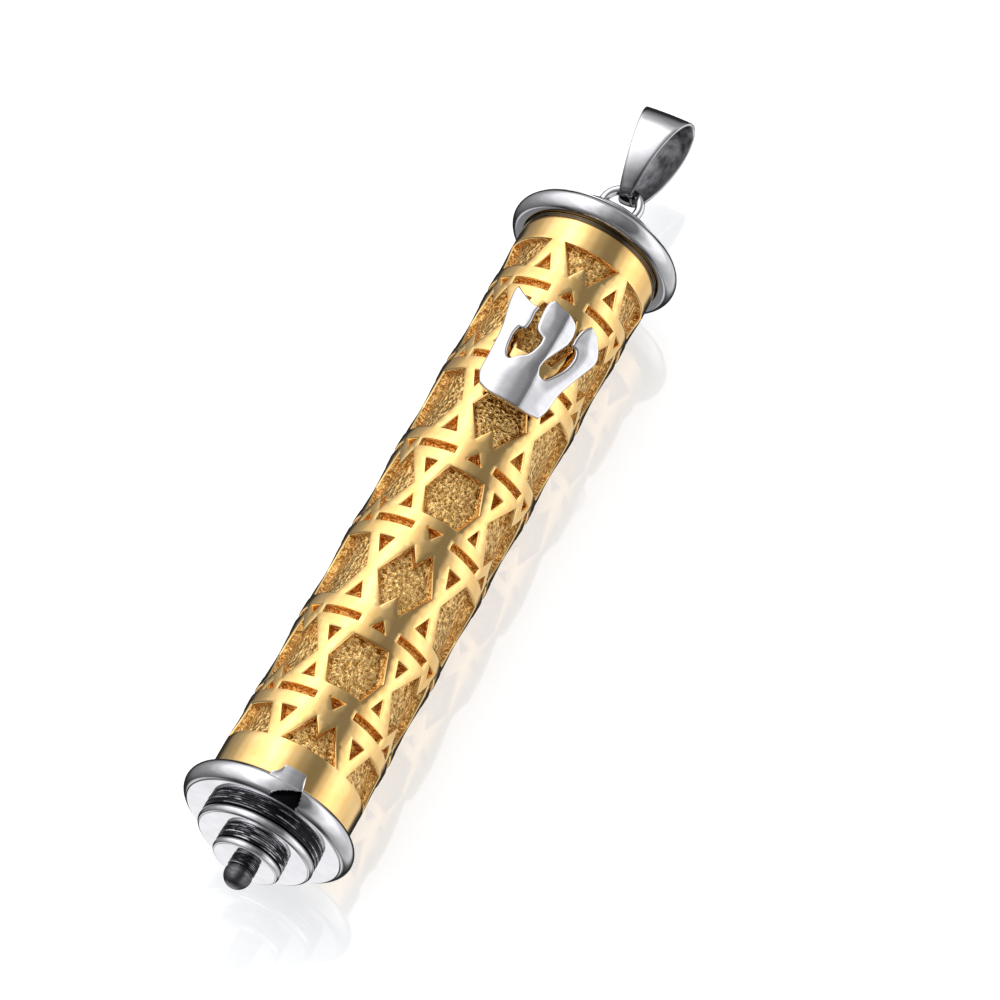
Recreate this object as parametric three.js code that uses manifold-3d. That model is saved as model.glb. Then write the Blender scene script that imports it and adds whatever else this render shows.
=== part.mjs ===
// A mezuzah case worn as a pendant: a cast tube with a Star of David strap lattice, a soldered top
// cap with a hang ring and a bail, a Shin letter on two posts, and a screwed, stepped bottom cap
// that carries the rolled parchment. Millimetres, +Z up towards the bail, the letter faces -Y.
import * as THREE from 'three';
import { mergeVertices } from 'three/addons/utils/BufferGeometryUtils.js';
import Module from 'manifold-3d';

const wasm = await Module();
wasm.setup();

// ---- Driving dimensions -------------------------------------------------------------------
const seam = 0.03; // closed seam between the cap and the tube, and between pieces set together

const crestRadius = 4.37; // of the tube's straps; the other radii follow it

const tube = {
  boreRadius: crestRadius - 0.67,
  neckRadius: crestRadius - 0.27,
  length: 40.37,
  neckLength: 0.45,
};

const lattice = {
  columns: 6, // alternately a small-star and a large-star column
  periods: 3,
  lowerBand: 2.24, // plain bands below and above the lattice
  upperBand: 1.53,
  pocketDepth: 0.42,
};

// Pockets, drawn for one period of the lattice: widths in degrees round, heights in millimetres.
const pocket = {
  period: 12.2,
  smallStar: { halfWidth: 24.5, halfFlat: 15, halfHeight: 1.7 },
  largeStar: { halfWidth: 24.5, halfFlat: 13, halfHeight: 2.15 },
  between: { halfWidth: 24.5, peakAngle: 8, peakHeight: 2.1, notchHeight: 1.1 },
  slot: { middle: 32.5, halfLength: 15.5, rise: 2.75, halfHeight: 0.23 },
};

const flangeThickness = 1.5;

const flange = {
  beadRadius: crestRadius + 0.93, // outermost
  beadSection: flangeThickness / 2 - 0.01, // radius of the round rim
  thickness: flangeThickness,
  faceRadius: crestRadius + 0.45,
  underside: 0.3, // the top bead's flat underside stops this far inside its section's centre
};

const lowerSteps = {
  largeRadius: crestRadius - 0.75,
  largeDrum: 0.58,
  largeStep: 0.6,
  smallRadius: 2.1,
  smallDrum: 0.55,
  smallStep: 0.52,
  drumGroove: 0.1,
  grooves: 3,
};

const finial = { stemRadius: 0.84, stemLength: 0.42, ballRadius: 0.83, ballSink: 0.5 };

const thread = {
  crestRadius: tube.boreRadius - 0.38,
  rootRadius: tube.boreRadius - 0.58,
  pitch: 0.6,
  turns: 5,
  clearance: 0.08,
  bushRise: 0.4, // how far the bush reaches past the plug
};

// The catch stands on the bead and hides the notch; angles in degrees round.
const tab = {
  span: 20,
  centre: -2,
  inset: 0.12,
  height: 0.6,
  wall: 0.42,
  notchHeight: 0.6,
  notchSpan: 17,
  notchInset: 0.04,
};

const topCap = {
  stepRadius: crestRadius - 0.72,
  ledgeRadius: crestRadius + 0.08,
  ledgeHeight: 0.18,
  stepHeight: 1.02,
  stepRound: 0.46,
  bossRadius: 1.6,
  bossHeight: 0.22,
  bossRound: 0.13,
  spigotLength: 2.8,
  spigotWall: 0.5,
};

const ring = {
  centreRadius: 1.13,
  wireRadius: 0.29,
  footRadius: 0.5,
  footHeight: 0.3,
  sunk: 0.1, // into its foot
  yaw: -16.6,
};

const bail = {
  halfDepth: 2.29,
  height: 6.7,
  strap: 0.28,
  bottomWidth: 0.8,
  topWidth: 3.24,
  overshoot: 0.1, // the widths are measured this far beyond the loop's ends
  taper: 0.12, // how much fuller the loop is above its middle than below
  lean: 5.7, // degrees back from upright, as it hangs on a chain
  wireClearance: 0.16,
};

const letter = {
  innerRadius: crestRadius + 0.35,
  outerRadius: crestRadius + 0.75,
  belowLattice: 11.67, // from the lattice's top down to the letter's foot
  posts: [1.6, 5.5], // above the letter's foot
  postRadius: 0.3,
  seatDepth: 0.1,
};

const scroll = { radius: tube.boreRadius - 0.65, hollow: 1.3, endClearance: 0.2, seat: 0.03 };

const fineSegments = 48;
const midSegments = 36;
const smallSegments = 24;
const wireSegments = 16;
const outside = 2; // how far cutting shapes reach beyond what they cut

// ---- Heights, measured up from the bottom cap's flat face ---------------------------------
const tubeFoot = flange.thickness + seam;
const tubeTop = tubeFoot + tube.length;
const neckTop = tubeTop + tube.neckLength;
const latticeFoot = tubeFoot + lattice.lowerBand;
const latticeTop = tubeTop - lattice.upperBand;
const period = (latticeTop - latticeFoot) / lattice.periods;
const letterFoot = latticeTop - letter.belowLattice;
const beadHeight = neckTop + flange.thickness / 3;
const ledgeTop = beadHeight + flange.beadSection + topCap.ledgeHeight;
const stepTop = ledgeTop + topCap.stepHeight;
const bossTop = stepTop + topCap.bossHeight;
const ringFoot = bossTop + ring.footHeight / 2 - ring.sunk;
const ringCentre = ringFoot + ring.centreRadius + ring.wireRadius;
const wireCentre = ringCentre + ring.centreRadius; // the bail turns about the wire here
const hangPoint = wireCentre - ring.wireRadius; // underside of the ring's top, where it bears
const plugTop = flange.thickness + thread.pitch * thread.turns;
const spigotFoot = neckTop - topCap.spigotLength;

// ---- Solids -------------------------------------------------------------------------------
const radians = THREE.MathUtils.degToRad;

function toSolid(geometry) {
  const bare = geometry.clone();
  bare.deleteAttribute('normal');
  bare.deleteAttribute('uv');
  const merged = mergeVertices(bare, 1e-5);
  return new wasm.Manifold(
    new wasm.Mesh({
      numProp: 3,
      vertProperties: new Float32Array(merged.attributes.position.array),
      triVerts: new Uint32Array(merged.index.array),
    }),
  );
}

function toGeometry(solid) {
  const mesh = solid.getMesh();
  const geometry = new THREE.BufferGeometry();
  geometry.setAttribute('position', new THREE.BufferAttribute(mesh.vertProperties, 3));
  geometry.setIndex(new THREE.BufferAttribute(mesh.triVerts, 1));
  geometry.computeVertexNormals();
  return geometry;
}

// A profile of [radius, height] pairs turned about Z; it starts and ends on the axis, or closes.
function turned(profile, segments = midSegments) {
  const points = profile.map(([radius, height]) => new THREE.Vector2(radius, height));
  return new THREE.LatheGeometry(points, segments).rotateX(Math.PI / 2);
}

function turnedTube(outer, inner, low, high, segments = midSegments) {
  return turned([[inner, low], [outer, low], [outer, high], [inner, high], [inner, low]], segments);
}

function disc(radius, low, high, segments = midSegments) {
  return turned([[0, low], [radius, low], [radius, high], [0, high]], segments);
}

function arc(centreRadius, centreHeight, radius, from, to, steps) {
  return Array.from({ length: steps + 1 }, (_, i) => {
    const angle = radians(from + ((to - from) * i) / steps);
    return [centreRadius + radius * Math.cos(angle), centreHeight + radius * Math.sin(angle)];
  });
}

// A flat outline in X and Z, pushed along -Y from the distance near to the distance far.
function facingPrism(shape, near, far, curveSegments = 6) {
  const geometry = new THREE.ExtrudeGeometry(shape, {
    depth: far - near,
    bevelEnabled: false,
    curveSegments,
  });
  return geometry.rotateX(Math.PI / 2).translate(0, -near, 0);
}

function outline(points) {
  return new THREE.Shape(points.map(([x, z]) => new THREE.Vector2(x, z)));
}

// ---- The lattice tube ---------------------------------------------------------------------
// Pocket outlines: [degrees round from the column's middle, millimetres above the star's centre].
function hexagon({ halfWidth, halfFlat, halfHeight }) {
  const right = [[halfFlat, -halfHeight], [halfWidth, 0], [halfFlat, halfHeight]];
  return [...right, ...right.map(([angle, z]) => [-angle, -z])];
}

function notchedHexagon({ halfWidth, peakAngle, peakHeight, notchHeight }) {
  const upper = [[peakAngle, peakHeight], [0, notchHeight], [-peakAngle, peakHeight]];
  return [[halfWidth, 0], ...upper, [-halfWidth, 0], ...upper.map(([angle, z]) => [-angle, -z])];
}

function slot({ middle, halfLength, rise, halfHeight }, side, up) {
  const [left, right] = [side * middle - halfLength, side * middle + halfLength];
  const [low, high] = [up * rise - halfHeight, up * rise + halfHeight];
  return [[left, low], [right, low], [right, high], [left, high]];
}

function pocketPrism(points, columnAngle, height) {
  const scale = period / pocket.period;
  const flat = points.map(([angle, z]) => [crestRadius * Math.sin(radians(angle)), z * scale]);
  if (THREE.ShapeUtils.area(flat.map(([x, y]) => ({ x, y }))) < 0) flat.reverse();
  const prism = facingPrism(outline(flat), tube.boreRadius / 2, crestRadius + outside);
  return toSolid(prism.rotateZ(radians(columnAngle)).translate(0, 0, height));
}

function latticePockets() {
  const pockets = [];
  for (let column = 0; column < lattice.columns; column++) {
    const angle = (column * 360) / lattice.columns;
    const smallColumn = column % 2 === 0;
    for (let level = 0; level <= 2 * lattice.periods; level++) {
      const height = latticeFoot + (level * period) / 2;
      const starLevel = smallColumn === (level % 2 === 1);
      const star = smallColumn ? pocket.smallStar : pocket.largeStar;
      const outlines = [starLevel ? hexagon(star) : notchedHexagon(pocket.between)];
      if (starLevel && smallColumn) {
        for (const side of [-1, 1]) {
          for (const up of [-1, 1]) outlines.push(slot(pocket.slot, side, up));
        }
      }
      pockets.push(...outlines.map((points) => pocketPrism(points, angle, height)));
    }
  }
  const floor = disc(crestRadius - lattice.pocketDepth, 0, neckTop, fineSegments);
  const field = disc(crestRadius + outside, latticeFoot, latticeTop, smallSegments);
  return wasm.Manifold.union(pockets).subtract(toSolid(floor)).intersect(toSolid(field));
}

function postRod(radius, near, far, height) {
  const rod = new THREE.CylinderGeometry(radius, radius, far - near, wireSegments);
  return rod.translate(0, (near + far) / 2, 0).rotateZ(Math.PI).translate(0, 0, height);
}

function postSeats() {
  const seatRadius = letter.postRadius + seam;
  const floor = crestRadius - lattice.pocketDepth - letter.seatDepth;
  return letter.posts.map((rise) => {
    return toSolid(postRod(seatRadius, floor, crestRadius + outside, letterFoot + rise));
  });
}

function latticeSleeve() {
  const { boreRadius, neckRadius } = tube;
  const profile = [
    [boreRadius, tubeFoot],
    [crestRadius, tubeFoot],
    [crestRadius, tubeTop],
    [neckRadius, tubeTop],
    [neckRadius, neckTop],
    [boreRadius, neckTop],
    [boreRadius, tubeFoot],
  ];
  const plain = toSolid(turned(profile, fineSegments));
  return toGeometry(plain.subtract(latticePockets()).subtract(wasm.Manifold.union(postSeats())));
}

// ---- Top cap ------------------------------------------------------------------------------
function topFlange() {
  const rimCentre = flange.beadRadius - flange.beadSection;
  return turned([
    [0, neckTop],
    [rimCentre - flange.underside, neckTop],
    ...arc(rimCentre, beadHeight, flange.beadSection, -110, 90, 9),
    [topCap.ledgeRadius, beadHeight + flange.beadSection],
    [topCap.ledgeRadius, ledgeTop],
    [0, ledgeTop],
  ]);
}

function topStep() {
  const { stepRadius, stepRound } = topCap;
  return turned([
    [0, ledgeTop],
    [stepRadius, ledgeTop],
    ...arc(stepRadius - stepRound, stepTop - stepRound, stepRound, 0, 90, 5),
    [0, stepTop],
  ]);
}

function topBoss() {
  const { bossRadius, bossRound } = topCap;
  return turned([
    [0, stepTop],
    [bossRadius, stepTop],
    ...arc(bossRadius - bossRound, bossTop - bossRound, bossRound, 0, 90, 4),
    [0, bossTop],
  ], smallSegments);
}

function topSpigot() {
  const outer = tube.boreRadius - seam;
  return turnedTube(outer, outer - topCap.spigotWall, spigotFoot, neckTop);
}

function hangRing() {
  const wire = new THREE.TorusGeometry(ring.centreRadius, ring.wireRadius, 10, 28);
  const standing = toSolid(wire.rotateX(Math.PI / 2).translate(0, 0, ringCentre));
  const footTop = bossTop + ring.footHeight;
  const foot = toSolid(disc(ring.footRadius, bossTop, footTop, smallSegments));
  const below = disc(ring.centreRadius * 2, bossTop - ring.centreRadius, bossTop, smallSegments);
  return toGeometry(standing.add(foot).subtract(toSolid(below)));
}

// ---- Bail ---------------------------------------------------------------------------------
// Side outline of the loop: an egg, fuller above its middle, with its lowest point at bottom.
function eggPoints(halfDepth, height, bottom, count) {
  const middle = bottom + height / 2;
  return Array.from({ length: count }, (_, i) => {
    const angle = (2 * Math.PI * i) / count;
    const up = Math.sin(angle);
    return [halfDepth * Math.cos(angle) * (1 + bail.taper * up), middle + (height / 2) * up];
  });
}

function bailLoop() {
  const { halfDepth, height, strap, bottomWidth, topWidth } = bail;
  const bottom = -(ring.wireRadius + bail.wireClearance + strap);
  const side = outline(eggPoints(halfDepth, height, bottom, 56));
  const hollow = eggPoints(halfDepth - strap, height - 2 * strap, bottom + strap, 56);
  side.holes.push(new THREE.Path(hollow.map(([x, z]) => new THREE.Vector2(x, z))));
  const strapSolid = toSolid(facingPrism(side, -topWidth, topWidth).rotateZ(Math.PI / 2));
  const top = bottom + height + bail.overshoot;
  const low = bottom - bail.overshoot;
  const trapezoid = outline([
    [-bottomWidth / 2, low],
    [bottomWidth / 2, low],
    [topWidth / 2, top],
    [-topWidth / 2, top],
  ]);
  return toGeometry(strapSolid.intersect(toSolid(facingPrism(trapezoid, -halfDepth * 2, halfDepth * 2))));
}

// ---- The letter ---------------------------------------------------------------------------
// Outline runs: [degrees round, millimetres above the letter's foot]; each run is one smooth edge.
const letterRuns = [
  [[-24, 0.42], [-15, 0.08], [0, 0], [13, 0.08], [24, 0.34]],
  [[24, 0.34], [27, 1.1], [29, 2.5], [35, 4.1], [40.5, 5.6], [38, 6.4]],
  [[38, 6.4], [32, 7.05], [25, 7.35]],
  [[25, 7.35], [20.5, 6.8], [18.6, 6.1], [18.8, 5.5]],
  [[18.8, 5.5], [23, 5.4], [25, 4.9], [23.5, 4.1], [18.5, 3.2], [13, 2.55], [8.6, 2.6]],
  [[8.6, 2.6], [6.8, 3], [8, 3.65], [11.5, 4.4], [16.2, 5.35]],
  [[16.2, 5.35], [16.6, 6.05], [13.8, 6.7], [7, 6.98], [0, 7.1], [-6, 7.32]],
  [[-6, 7.32], [-9.6, 6.9], [-9.4, 5.8], [-7.5, 5.1], [-1.4, 4.75]],
  [[-1.4, 4.75], [-1.4, 4.2], [-4.5, 3.4], [-10, 3], [-14.8, 2.62], [-18.4, 3.1], [-20, 4.2], [-18.8, 4.75]],
  [[-18.8, 4.75], [-14.5, 4.85], [-13.4, 5.4], [-14, 6], [-13.2, 6.45]],
  [[-13.2, 6.45], [-20, 6.6], [-27, 6.95], [-34, 7.42]],
  [[-34, 7.42], [-35.6, 7], [-33.6, 5.8], [-30, 4.4], [-28.6, 2.6], [-28, 1.2], [-24, 0.42]],
];

function letterShape() {
  const place = ([angle, z]) => {
    return new THREE.Vector2(letter.outerRadius * Math.sin(radians(angle)), letterFoot + z);
  };
  const shape = new THREE.Shape();
  const start = place(letterRuns[0][0]);
  shape.moveTo(start.x, start.y);
  for (const run of letterRuns) shape.splineThru(run.slice(1).map(place));
  return shape;
}

function shinLetter() {
  const plate = turnedTube(letter.outerRadius, letter.innerRadius, 0, ledgeTop, fineSegments);
  const cutter = facingPrism(letterShape(), letter.innerRadius / 2, letter.outerRadius + outside, 2);
  return toGeometry(toSolid(plate).intersect(toSolid(cutter)));
}

function shinPost(rise) {
  const seat = crestRadius - lattice.pocketDepth - letter.seatDepth + seam;
  return postRod(letter.postRadius, seat, letter.innerRadius - seam, letterFoot + rise);
}

// ---- Bottom cap ---------------------------------------------------------------------------
function bottomFlange() {
  const rimCentre = flange.beadRadius - flange.beadSection;
  const body = toSolid(turned([
    [0, 0],
    [flange.faceRadius, 0],
    ...arc(rimCentre, flange.thickness / 2, flange.beadSection, -68, 90, 8),
    [rimCentre, flange.thickness],
    [0, flange.thickness],
  ]));
  const depth = flange.faceRadius + tab.notchInset;
  const notch = sector(flange.beadRadius + outside, depth, -outside, tab.notchHeight, tab.notchSpan);
  return toGeometry(body.subtract(notch));
}

// Part of a tube, spanning some degrees about the catch tab's middle.
function sector(outer, inner, low, high, span) {
  const edge = (angle) => [outer * 2 * Math.sin(radians(angle)), -outer * 2 * Math.cos(radians(angle))];
  const wedge = new THREE.Shape([new THREE.Vector2(0, 0)].concat(
    [tab.centre - span / 2, tab.centre + span / 2].map((a) => new THREE.Vector2(...edge(a))),
  ));
  const block = new THREE.ExtrudeGeometry(wedge, { depth: high - low, bevelEnabled: false });
  const shell = toSolid(turnedTube(outer, inner, low, high, fineSegments));
  return shell.intersect(toSolid(block.translate(0, 0, low)));
}

function catchTab() {
  const outer = flange.beadRadius - tab.inset;
  const low = flange.thickness;
  return toGeometry(sector(outer, outer - tab.wall, low, low + tab.height, tab.span));
}

// A drum with three turned grooves round it.
function groovedDrum(radius, low, high, segments) {
  const pitch = (high - low) / lowerSteps.grooves;
  const wall = [];
  for (let i = 0; i < lowerSteps.grooves; i++) {
    wall.push([radius, low + pitch * (i + 0.15)], [radius, low + pitch * (i + 0.6)]);
    wall.push([radius - lowerSteps.drumGroove, low + pitch * (i + 0.8)]);
  }
  return turned([[0, low], [radius, low], ...wall.slice(1), [radius, high], [0, high]], segments);
}

function beadStep(radius, low, high, segments) {
  const section = (high - low) / 2;
  return turned([
    [0, low],
    [radius - section * 0.6, low],
    ...arc(radius - section, low + section, section, -60, 90, 8),
    [0, high],
  ], segments);
}

function threadedPlug() {
  const wall = [];
  for (let i = 0; i < thread.turns; i++) {
    const base = flange.thickness + thread.pitch * i;
    wall.push([thread.rootRadius, base + thread.pitch * 0.1]);
    wall.push([thread.crestRadius, base + thread.pitch * 0.5]);
  }
  return turned([[0, flange.thickness], [thread.rootRadius, flange.thickness], ...wall,
    [thread.rootRadius, plugTop], [0, plugTop]]);
}

function threadBush() {
  const outer = tube.boreRadius - seam;
  return turnedTube(outer, thread.crestRadius + thread.clearance, tubeFoot, plugTop + thread.bushRise);
}

function parchment() {
  const low = plugTop + scroll.seat;
  return turnedTube(scroll.radius, scroll.hollow, low, spigotFoot - scroll.endClearance, smallSegments);
}

// ---- Assembly -----------------------------------------------------------------------------
const silver = { color: 0xc9cbd1, roughness: 0.08, metalness: 1 };
const gold = { color: 0xe0b45a, roughness: 0.12, metalness: 1 };
const oxidised = { color: 0x2c2c30, roughness: 0.35, metalness: 1 };
const paper = { color: 0xe6d9b8, roughness: 0.85, metalness: 0 };

function part(name, geometry, finish) {
  const mesh = new THREE.Mesh(geometry, new THREE.MeshStandardMaterial(finish));
  mesh.name = name;
  return mesh;
}

const largeDrumFoot = -lowerSteps.largeDrum;
const largeStepFoot = largeDrumFoot - lowerSteps.largeStep;
const smallDrumFoot = largeStepFoot - lowerSteps.smallDrum;
const smallStepFoot = smallDrumFoot - lowerSteps.smallStep;
const stemFoot = smallStepFoot - finial.stemLength;
const ballCentre = stemFoot - finial.ballRadius + finial.ballSink;

function finialBall() {
  const ball = new THREE.SphereGeometry(finial.ballRadius, 20, 12).rotateX(Math.PI / 2);
  const below = disc(finial.ballRadius * 2, ballCentre - 2 * finial.ballRadius, stemFoot, 20);
  return toGeometry(toSolid(ball.translate(0, 0, ballCentre)).intersect(toSolid(below)));
}

const caseTube = new THREE.Group();
caseTube.add(
  part('lattice_tube', latticeSleeve(), gold),
  part('thread_bush', threadBush(), silver),
  part('top_flange', topFlange(), silver),
  part('top_step', topStep(), silver),
  part('top_boss', topBoss(), silver),
  part('top_spigot', topSpigot(), silver),
  part('shin_letter', shinLetter(), silver),
  part('shin_post_lower', shinPost(letter.posts[0]), silver),
  part('shin_post_upper', shinPost(letter.posts[1]), silver),
);

const hanger = new THREE.Group();
hanger.rotation.z = radians(ring.yaw);
const bailMesh = part('bail', bailLoop(), silver);
bailMesh.position.z = wireCentre;
bailMesh.rotation.x = -radians(bail.lean);
hanger.add(part('hang_ring', hangRing(), silver), bailMesh);

const { largeRadius, smallRadius } = lowerSteps;
const bottomCap = new THREE.Group();
bottomCap.add(
  part('bottom_flange', bottomFlange(), silver),
  part('catch_tab', catchTab(), silver),
  part('threaded_plug', threadedPlug(), silver),
  part('drum_large', groovedDrum(largeRadius, largeDrumFoot, 0, midSegments), oxidised),
  part('step_large', beadStep(largeRadius, largeStepFoot, largeDrumFoot, midSegments), silver),
  part('drum_small', groovedDrum(smallRadius, smallDrumFoot, largeStepFoot, smallSegments), oxidised),
  part('step_small', beadStep(smallRadius, smallStepFoot, smallDrumFoot, smallSegments), silver),
  part('finial_stem', groovedDrum(finial.stemRadius, stemFoot, smallStepFoot, 20), oxidised),
  part('finial_ball', finialBall(), oxidised),
);

const pendant = new THREE.Group();
pendant.position.z = -hangPoint;
pendant.add(caseTube, hanger, bottomCap, part('parchment_scroll', parchment(), paper));

export default pendant;
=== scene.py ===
import math
import random
from math import cos, pi, radians, sin

import bmesh
import bpy
from mathutils import Matrix, Vector
from mathutils.geometry import delaunay_2d_cdt


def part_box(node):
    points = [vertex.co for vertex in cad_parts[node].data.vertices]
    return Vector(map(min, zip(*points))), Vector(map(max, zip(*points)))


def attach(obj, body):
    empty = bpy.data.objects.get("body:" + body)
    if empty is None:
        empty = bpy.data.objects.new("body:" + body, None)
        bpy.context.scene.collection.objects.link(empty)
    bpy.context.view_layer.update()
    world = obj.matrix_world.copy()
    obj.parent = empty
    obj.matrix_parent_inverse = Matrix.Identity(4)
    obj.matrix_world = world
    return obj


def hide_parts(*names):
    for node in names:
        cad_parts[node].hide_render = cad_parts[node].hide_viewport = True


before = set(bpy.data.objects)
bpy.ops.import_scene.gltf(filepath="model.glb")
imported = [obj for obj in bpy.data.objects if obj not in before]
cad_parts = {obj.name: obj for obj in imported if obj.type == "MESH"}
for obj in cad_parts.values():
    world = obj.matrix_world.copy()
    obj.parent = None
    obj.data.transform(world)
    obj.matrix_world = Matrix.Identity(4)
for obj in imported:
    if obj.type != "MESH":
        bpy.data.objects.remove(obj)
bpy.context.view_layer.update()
mm = 0.001
tau = 2 * pi

# Heights read off the frame, in metres: the cap's flat face and the ends of the tube.
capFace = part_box("bottom_flange")[0].z
tubeLow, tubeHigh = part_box("lattice_tube")
crest = tubeHigh.x


# Small helpers.

def smoothstep(low, high, value):
    t = min(max((value - low) / (high - low), 0), 1)
    return t * t * (3 - 2 * t)


def addObject(name, data):
    made = bpy.data.objects.new(name, data)
    bpy.context.scene.collection.objects.link(made)
    return made


def newPiece(name, mesh, sharpAngle=35):
    mesh.shade_smooth()
    mesh.set_sharp_from_angle(angle=radians(sharpAngle))
    return addObject(name, mesh)


def paint(mesh, name, values):
    mesh.attributes.new(name, "FLOAT", "POINT").data.foreach_set("value", values)


# Welds doubled points and turns every face outwards.
def weldInto(mesh, bm):
    bmesh.ops.remove_doubles(bm, verts=bm.verts, dist=1e-7)
    bmesh.ops.recalc_face_normals(bm, faces=bm.faces)
    bm.to_mesh(mesh)
    bm.free()


def meshFrom(name, points, faces, shadeValues=None):
    mesh = bpy.data.meshes.new(name)
    mesh.from_pydata(points, [], faces)
    if shadeValues:
        paint(mesh, "paintedShade", shadeValues)
    bm = bmesh.new()
    bm.from_mesh(mesh)
    weldInto(mesh, bm)
    return mesh


# A box's lower and upper height above the cap's face, and its radius, in mm.
def spanOf(box):
    low, high = box
    return (low.z - capFace) / mm, (high.z - capFace) / mm, high.x / mm


def place(piece, material, body, slot, *nodes):
    if material is not None:
        piece.data.materials.clear()
        piece.data.materials.append(material)
    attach(piece, body)
    if nodes:
        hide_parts(*nodes)
    return piece


def arc(centreRadius, centreHeight, radius, start, end, steps):
    out = []
    for i in range(steps + 1):
        a = radians(start + (end - start) * i / steps)
        out.append((centreRadius + radius * cos(a), centreHeight + radius * sin(a)))
    return out


# Rounds every corner of a [radius, height] outline that is off the axis.
def softened(profile, radius, steps=4):
    out = [profile[0]]
    for before, here, after in zip(profile, profile[1:], profile[2:]):
        a, b = Vector(before) - Vector(here), Vector(after) - Vector(here)
        reach = min(radius, a.length * 0.45, b.length * 0.45)
        turn = a.angle(b, 0) if a.length > 1e-9 and b.length > 1e-9 else pi
        if turn > radians(150) or reach < 1e-4:
            out.append(here)
            continue
        start, end = Vector(here) + a.normalized() * reach, Vector(here) + b.normalized() * reach
        for i in range(steps + 1):
            t = i / steps
            mix = start * (1 - t) ** 2 + Vector(here) * 2 * t * (1 - t) + end * t * t
            out.append((mix.x, mix.y))
    return out + [profile[-1]]


# A [radius, height] outline in mm above the cap's face, turned about Z. reach(r, z, angle) may trim it,
# and its last argument, a function of (r, z, angle), gives how much painted shade darkens it there.
def turned(name, profile, segments=160, reach=None, paintedShade=None):
    points, faces, rings, shadeValues = [], [], [], []
    for r, z in profile:
        if r < 1e-6:
            rings.append([len(points)])
            points.append((0, 0, capFace + z * mm))
            shadeValues.append(0.0)
            continue
        rings.append(list(range(len(points), len(points) + segments)))
        for i in range(segments):
            a = tau * i / segments
            rr = reach(r, z, a) if reach else r
            points.append((rr * mm * sin(a), -rr * mm * cos(a), capFace + z * mm))
            shadeValues.append(paintedShade(r, z, a) if paintedShade else 0.0)
    for low, high in zip(rings, rings[1:]):
        for i in range(segments):
            j = (i + 1) % segments
            ring = [low[i % len(low)], low[j % len(low)], high[j % len(high)], high[i % len(high)]]
            face = list(dict.fromkeys(ring))
            if len(face) > 2:
                faces.append(face)
    return newPiece(name, meshFrom(name, points, faces, shadeValues if paintedShade else None))


# Node trees.

class Wiring:
    def __init__(self, tree):
        self.tree = tree

    def node(self, kind, inputs=None, **settings):
        made = self.tree.nodes.new(kind)
        for key, value in settings.items():
            setattr(made, key, value)
        for key, value in (inputs or {}).items():
            self.feed(made.inputs[key], value)
        return made

    def feed(self, socket, value):
        if isinstance(value, bpy.types.NodeSocket):
            self.tree.links.new(value, socket)
        else:
            socket.default_value = value

    def out(self, kind, inputs=None, **settings):
        return self.node(kind, inputs, **settings).outputs[0]

    def shape(self, kind, inputs=None, **settings):
        return self.out("GeometryNode" + kind, inputs, **settings)

    def math(self, operation, *values):
        return self.out("ShaderNodeMath", dict(enumerate(values)), operation=operation)

    def vector(self, operation, *values):
        inputs = {"Scale" if operation == "SCALE" and i == 1 else i: v for i, v in enumerate(values)}
        return self.out("ShaderNodeVectorMath", inputs, operation=operation)

    def xyz(self, **parts):
        return self.out("ShaderNodeCombineXYZ", parts)

    def ranged(self, value, low, high, toLow=0.0, toHigh=1.0, **settings):
        limits = {"From Min": low, "From Max": high, "To Min": toLow, "To Max": toHigh}
        return self.out("ShaderNodeMapRange", {"Value": value, **limits}, **settings)

    def noise(self, place, scale, detail, roughness=0.5):
        return self.out("ShaderNodeTexNoise", {
            "Vector": place, "Scale": scale, "Detail": detail, "Roughness": roughness})

    def objectPlace(self):
        return self.node("ShaderNodeTexCoord").outputs["Object"]

    def attribute(self, name):
        return self.node("ShaderNodeAttribute", attribute_name=name).outputs["Fac"]

    def bump(self, distance, height):
        return self.out("ShaderNodeBump", {"Strength": 1.0, "Distance": distance, "Height": height})


# A node group, its wiring and what it is given. Each socket is named with its default, or with its kind.
def startTree(name, treeKind, inputs, outputs):
    tree = bpy.data.node_groups.new(name, treeKind)
    for direction, sockets in (("INPUT", inputs), ("OUTPUT", outputs)):
        for label, value in sockets.items():
            kind = value if isinstance(value, str) else {float: "Float", int: "Int"}[type(value)]
            socket = tree.interface.new_socket(label, in_out=direction, socket_type="NodeSocket" + kind)
            if kind != value:
                socket.default_value = value
    w = Wiring(tree)
    return tree, w, w.node("NodeGroupInput").outputs


def startGeometry(name, inputs):
    return startTree(name, "GeometryNodeTree", {"Geometry": "Geometry", **inputs}, {"Geometry": "Geometry"})


def runNodes(name, tree, values, source=None):
    carrier = addObject(name + "Carrier", source or bpy.data.meshes.new(name + "Empty"))
    modifier = carrier.modifiers.new(tree.name, "NODES")
    modifier.node_group = tree
    sockets = {s.name: s.identifier for s in tree.interface.items_tree if s.item_type == "SOCKET"}
    for key, value in values.items():
        modifier[sockets[key]] = value
    bpy.context.view_layer.update()
    graph = bpy.context.evaluated_depsgraph_get()
    mesh = bpy.data.meshes.new_from_object(carrier.evaluated_get(graph))
    bpy.data.objects.remove(carrier)
    mesh.name = name
    return mesh


# A round section swept along a curve.
def swept(w, curve, radius, sides, capped=False):
    section = w.shape("CurvePrimitiveCircle", {"Resolution": sides, "Radius": radius}, mode="RADIUS")
    return w.shape("CurveToMesh", {"Curve": curve, "Profile Curve": section, "Fill Caps": capped})


# Ribs or a ridge set round a plain core, as one real mesh.
def onCore(w, given, outer, coreRadius, vertices):
    core = w.shape("MeshCylinder", {"Vertices": vertices, "Radius": coreRadius, "Depth": given["Height"]})
    lift = w.xyz(Z=w.math("MULTIPLY_ADD", given["Height"], 0.5, given["Foot"]))
    joined = w.node("GeometryNodeJoinGeometry")
    for part in (outer, w.shape("Transform", {"Geometry": core, "Translation": lift})):
        w.feed(joined.inputs[0], part)
    return w.shape("RealizeInstances", {"Geometry": joined.outputs[0]})


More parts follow.
